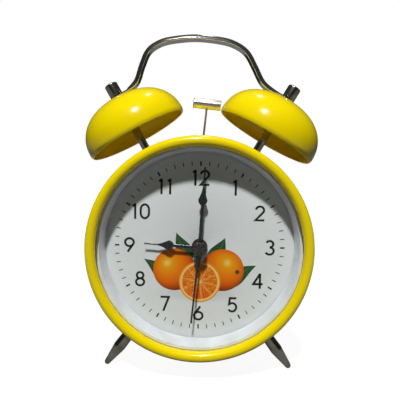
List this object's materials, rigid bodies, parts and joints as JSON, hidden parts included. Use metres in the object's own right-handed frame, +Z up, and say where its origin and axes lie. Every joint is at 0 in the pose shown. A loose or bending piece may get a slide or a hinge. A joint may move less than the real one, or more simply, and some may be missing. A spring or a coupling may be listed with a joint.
{
  "type": "alarm clock",
  "caption": "Round yellow twin-bell alarm clock with swinging hammer, arched handle, splayed feet, geared hands, setting knobs and battery back.",
  "frame": {"origin": "on the standing surface, under the middle of the overall box", "axes": "+Z up, the dial faces -Y, +X is the viewer's right when facing the dial"},
  "size_m": [0.1114, 0.0608, 0.1648],
  "materials": {
    "black_lacquer": "black lacquered stamping",
    "black_plastic": "fine moulded texture",
    "black_rubber": "matt rubber",
    "board_green": "solder mask",
    "brass": "stamped and polished",
    "cell_wrap": "printed foil wrap",
    "chrome": "bright polished plating",
    "clear_glass": "clear polished glass",
    "dark_chrome": "dark polished plating",
    "enamelled_copper": "wound enamelled wire",
    "gear_plastic": "natural moulded",
    "printed_dial": "matt printed sheet",
    "white_plastic": "satin moulded",
    "yellow_enamel": "glossy baked enamel",
    "zinc_steel": "satin zinc plate"
  },
  "bodies": {
    "clock": {"case_shell": "yellow_enamel", "front_bezel": "yellow_enamel", "front_lens": "clear_glass", "dial_ring": "white_plastic", "dial_plate": "printed_dial", "dial_nut": "black_lacquer", "left_bell": "yellow_enamel", "right_bell": "yellow_enamel", "left_bell_post": "dark_chrome", "right_bell_post": "dark_chrome", "left_bell_nut": "dark_chrome", "right_bell_nut": "dark_chrome", "left_post_nut": "zinc_steel", "right_post_nut": "zinc_steel", "handle": "chrome", "hammer_pivot": "zinc_steel", "hammer_bracket": "zinc_steel", "left_foot": "dark_chrome", "right_foot": "dark_chrome", "rear_foot": "black_rubber", "left_foot_nut": "zinc_steel", "right_foot_nut": "zinc_steel", "rear_foot_nut": "zinc_steel", "movement_front": "black_plastic", "movement_rear": "black_plastic", "stator": "zinc_steel", "coil": "enamelled_copper", "circuit_board": "board_green", "crystal": "zinc_steel", "bell_motor": "zinc_steel", "back_cover": "black_plastic", "battery_cell": "cell_wrap", "positive_contact": "zinc_steel", "negative_contact": "zinc_steel", "left_back_screw": "zinc_steel", "right_back_screw": "zinc_steel"},
    "hammer": {"hammer_lever": "brass", "hammer_wire": "zinc_steel", "hammer_head": "chrome"},
    "crank": {"motor_crank": "white_plastic"},
    "seconds_arbor": {"second_wheel": "gear_plastic", "second_hand": "black_lacquer", "hub_cap": "dark_chrome"},
    "third_arbor": {"third_wheel": "gear_plastic"},
    "centre_wheel": {"minute_wheel": "gear_plastic"},
    "intermediate_arbor": {"intermediate_wheel": "gear_plastic"},
    "rotor_arbor": {"rotor": "gear_plastic"},
    "minute_arbor": {"minute_tube": "gear_plastic", "minute_hand": "black_lacquer"},
    "motion_arbor": {"motion_wheel": "gear_plastic"},
    "hour_arbor": {"hour_wheel": "gear_plastic", "hour_hand": "black_lacquer"},
    "time_setting": {"time_set_stem": "white_plastic", "time_set_knob": "black_plastic"},
    "alarm_setting": {"alarm_set_stem": "white_plastic", "alarm_set_knob": "black_plastic"},
    "alarm_arbor": {"alarm_wheel": "gear_plastic", "alarm_hand": "black_lacquer"},
    "switch": {"alarm_switch": "black_plastic"},
    "door": {"battery_door": "black_plastic"}
  },
  "joints": [
    {"name": "hammer_swing", "type": "hinge", "parent": "clock", "child": "hammer", "pos_m": [0, -0.0052, 0.10706], "axis": [0, -1, 0], "range_deg": [0, 11]},
    {"name": "crank_turn", "type": "hinge", "parent": "clock", "child": "crank", "pos_m": [0, -0.0022, 0.09806], "axis": [0, 1, 0], "continuous": true},
    {"name": "minute_turn", "type": "hinge", "parent": "clock", "child": "minute_arbor", "pos_m": [0, -0.0122, 0.06356], "axis": [0, 1, 0], "continuous": true},
    {"name": "hour_turn", "type": "hinge", "parent": "clock", "child": "hour_arbor", "pos_m": [0, -0.0122, 0.06356], "axis": [0, 1, 0], "continuous": true},
    {"name": "motion_turn", "type": "hinge", "parent": "clock", "child": "motion_arbor", "pos_m": [-0.01012, -0.0072, 0.06836], "axis": [0, 1, 0], "continuous": true},
    {"name": "time_set_turn", "type": "hinge", "parent": "clock", "child": "time_setting", "pos_m": [-0.01309, 0.0148, 0.05756], "axis": [0, 1, 0], "continuous": true},
    {"name": "second_turn", "type": "hinge", "parent": "clock", "child": "seconds_arbor", "pos_m": [0, -0.0122, 0.06356], "axis": [0, 1, 0], "continuous": true},
    {"name": "third_turn", "type": "hinge", "parent": "clock", "child": "third_arbor", "pos_m": [0, -0.0052, 0.07656], "axis": [0, 1, 0], "continuous": true},
    {"name": "centre_wheel_turn", "type": "hinge", "parent": "clock", "child": "centre_wheel", "pos_m": [0, -0.0052, 0.06356], "axis": [0, 1, 0], "continuous": true},
    {"name": "intermediate_turn", "type": "hinge", "parent": "clock", "child": "intermediate_arbor", "pos_m": [0, -0.0022, 0.05406], "axis": [0, 1, 0], "continuous": true},
    {"name": "rotor_turn", "type": "hinge", "parent": "clock", "child": "rotor_arbor", "pos_m": [0.00613, -0.0022, 0.04892], "axis": [0, 1, 0], "continuous": true},
    {"name": "alarm_set_turn", "type": "hinge", "parent": "clock", "child": "alarm_setting", "pos_m": [0.01309, 0.0148, 0.05756], "axis": [0, 1, 0], "continuous": true},
    {"name": "alarm_turn", "type": "hinge", "parent": "clock", "child": "alarm_arbor", "pos_m": [0, -0.0122, 0.06356], "axis": [0, 1, 0], "continuous": true},
    {"name": "switch_slide", "type": "slide", "parent": "clock", "child": "switch", "axis": [0, 0, 1], "range_m": [0, 0.005]},
    {"name": "door_hinge", "type": "hinge", "parent": "clock", "child": "door", "pos_m": [0, 0.0197, 0.03271], "axis": [-1, 0, 0], "range_deg": [0, 80]}
  ],
  "couplings": [
    {"joint": "hour_turn", "follows": "minute_turn", "ratio": 0.083333},
    {"joint": "motion_turn", "follows": "minute_turn", "ratio": -0.33333},
    {"joint": "time_set_turn", "follows": "minute_turn", "ratio": 1},
    {"joint": "third_turn", "follows": "second_turn", "ratio": -0.125},
    {"joint": "centre_wheel_turn", "follows": "second_turn", "ratio": 0.016667},
    {"joint": "intermediate_turn", "follows": "second_turn", "ratio": -5},
    {"joint": "rotor_turn", "follows": "second_turn", "ratio": 30},
    {"joint": "alarm_turn", "follows": "alarm_set_turn", "ratio": -0.6}
  ]
}
